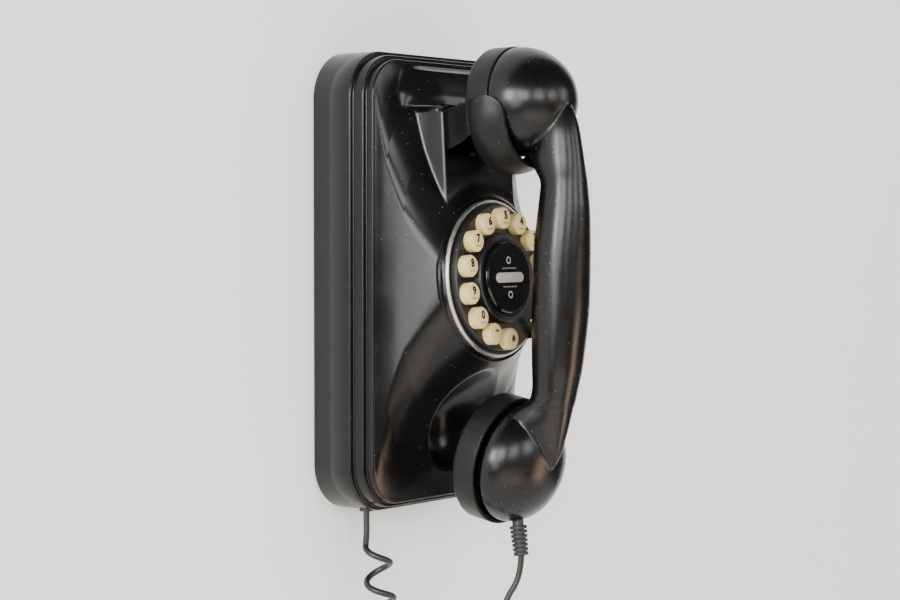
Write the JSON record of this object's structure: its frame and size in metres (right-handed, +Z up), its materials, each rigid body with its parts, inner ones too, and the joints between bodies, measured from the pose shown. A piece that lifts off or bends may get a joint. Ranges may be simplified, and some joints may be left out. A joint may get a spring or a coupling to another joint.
{
  "type": "wall_telephone",
  "caption": "Retro black wall telephone: stepped box housing swept forward to a round push-button dial, upright handset in a cradle hook, coiled cord.",
  "frame": {"origin": "centre of the flat back, on the wall plane, midway between the two wall screws", "axes": "+Z up, +X to the viewer's right, +Y into the wall; the dial faces -Y"},
  "size_m": [0.1264, 0.1197, 0.387],
  "materials": {
    "black_gloss": "gloss",
    "black_satin": "satin",
    "cream_plastic": "satin",
    "bright_metal": "polished",
    "steel": "satin",
    "rubber": "matte",
    "board_green": "matte",
    "cord_black": "satin"
  },
  "bodies": {
    "base": {"housing": "black_gloss", "base_plate": "black_satin", "housing_screws": "steel", "board_screws": "steel", "main_board": "board_green", "line_jack": "black_satin", "ringer": "black_satin", "cord_socket": "black_satin", "reed_switch": "black_satin", "hook_pin": "steel", "hook_spring": "steel", "bezel_ring": "bright_metal", "dial_plate": "black_satin", "dial_hub": "black_gloss", "finger_stop": "bright_metal", "keypad_membrane": "rubber", "keypad_board": "board_green", "center_post": "black_satin", "outlet_bush": "rubber", "cord_body_lead": "cord_black", "cord_coil": "cord_black"},
    "cradle": {"cradle_hook": "black_satin", "hook_magnet": "steel"},
    "handset": {"handset_shell": "black_gloss", "ear_cap": "black_satin", "mouth_cap": "black_satin", "receiver_capsule": "steel", "microphone_capsule": "steel", "handset_weight": "steel", "strain_relief": "rubber", "cord_handset_lead": "cord_black"},
    "center_key": {"center_disc": "black_gloss", "center_bar": "cream_plastic"},
    "key_1": {"button_1": "cream_plastic"},
    "key_2": {"button_2": "cream_plastic"},
    "key_3": {"button_3": "cream_plastic"},
    "key_4": {"button_4": "cream_plastic"},
    "key_5": {"button_5": "cream_plastic"},
    "key_6": {"button_6": "cream_plastic"},
    "key_7": {"button_7": "cream_plastic"},
    "key_8": {"button_8": "cream_plastic"},
    "key_9": {"button_9": "cream_plastic"},
    "key_0": {"button_0": "cream_plastic"},
    "key_star": {"button_star": "cream_plastic"},
    "key_hash": {"button_hash": "cream_plastic"}
  },
  "joints": [
    {"name": "handset_lift", "type": "slide", "parent": "base", "child": "handset", "axis": [0, -0.8, 0.6], "range_m": [0, 0.12]},
    {"name": "cradle_hinge", "type": "hinge", "parent": "base", "child": "cradle", "pos_m": [0, -0.024, 0.072], "axis": [-1, 0, 0], "range_deg": [0, 3.5]},
    {"name": "center_rock", "type": "hinge", "parent": "base", "child": "center_key", "pos_m": [0, -0.07307, 0.00211], "axis": [1, 0, 0], "range_deg": [-2, 2], "stiffness_Nm_per_rad": 0.4},
    {"name": "press_1", "type": "slide", "parent": "base", "child": "key_1", "axis": [0, 0.9968, -0.0802], "range_m": [0, 0.0016], "stiffness_N_per_m": 400},
    {"name": "press_2", "type": "slide", "parent": "base", "child": "key_2", "axis": [0, 0.9968, -0.0802], "range_m": [0, 0.0016], "stiffness_N_per_m": 400},
    {"name": "press_3", "type": "slide", "parent": "base", "child": "key_3", "axis": [0, 0.9968, -0.0802], "range_m": [0, 0.0016], "stiffness_N_per_m": 400},
    {"name": "press_4", "type": "slide", "parent": "base", "child": "key_4", "axis": [0, 0.9968, -0.0802], "range_m": [0, 0.0016], "stiffness_N_per_m": 400},
    {"name": "press_5", "type": "slide", "parent": "base", "child": "key_5", "axis": [0, 0.9968, -0.0802], "range_m": [0, 0.0016], "stiffness_N_per_m": 400},
    {"name": "press_6", "type": "slide", "parent": "base", "child": "key_6", "axis": [0, 0.9968, -0.0802], "range_m": [0, 0.0016], "stiffness_N_per_m": 400},
    {"name": "press_7", "type": "slide", "parent": "base", "child": "key_7", "axis": [0, 0.9968, -0.0802], "range_m": [0, 0.0016], "stiffness_N_per_m": 400},
    {"name": "press_8", "type": "slide", "parent": "base", "child": "key_8", "axis": [0, 0.9968, -0.0802], "range_m": [0, 0.0016], "stiffness_N_per_m": 400},
    {"name": "press_9", "type": "slide", "parent": "base", "child": "key_9", "axis": [0, 0.9968, -0.0802], "range_m": [0, 0.0016], "stiffness_N_per_m": 400},
    {"name": "press_0", "type": "slide", "parent": "base", "child": "key_0", "axis": [0, 0.9968, -0.0802], "range_m": [0, 0.0016], "stiffness_N_per_m": 400},
    {"name": "press_star", "type": "slide", "parent": "base", "child": "key_star", "axis": [0, 0.9968, -0.0802], "range_m": [0, 0.0016], "stiffness_N_per_m": 400},
    {"name": "press_hash", "type": "slide", "parent": "base", "child": "key_hash", "axis": [0, 0.9968, -0.0802], "range_m": [0, 0.0016], "stiffness_N_per_m": 400}
  ],
  "couplings": [
    {"joint": "cradle_hinge", "follows": "handset_lift", "rad_per_m": 0.5}
  ]
}
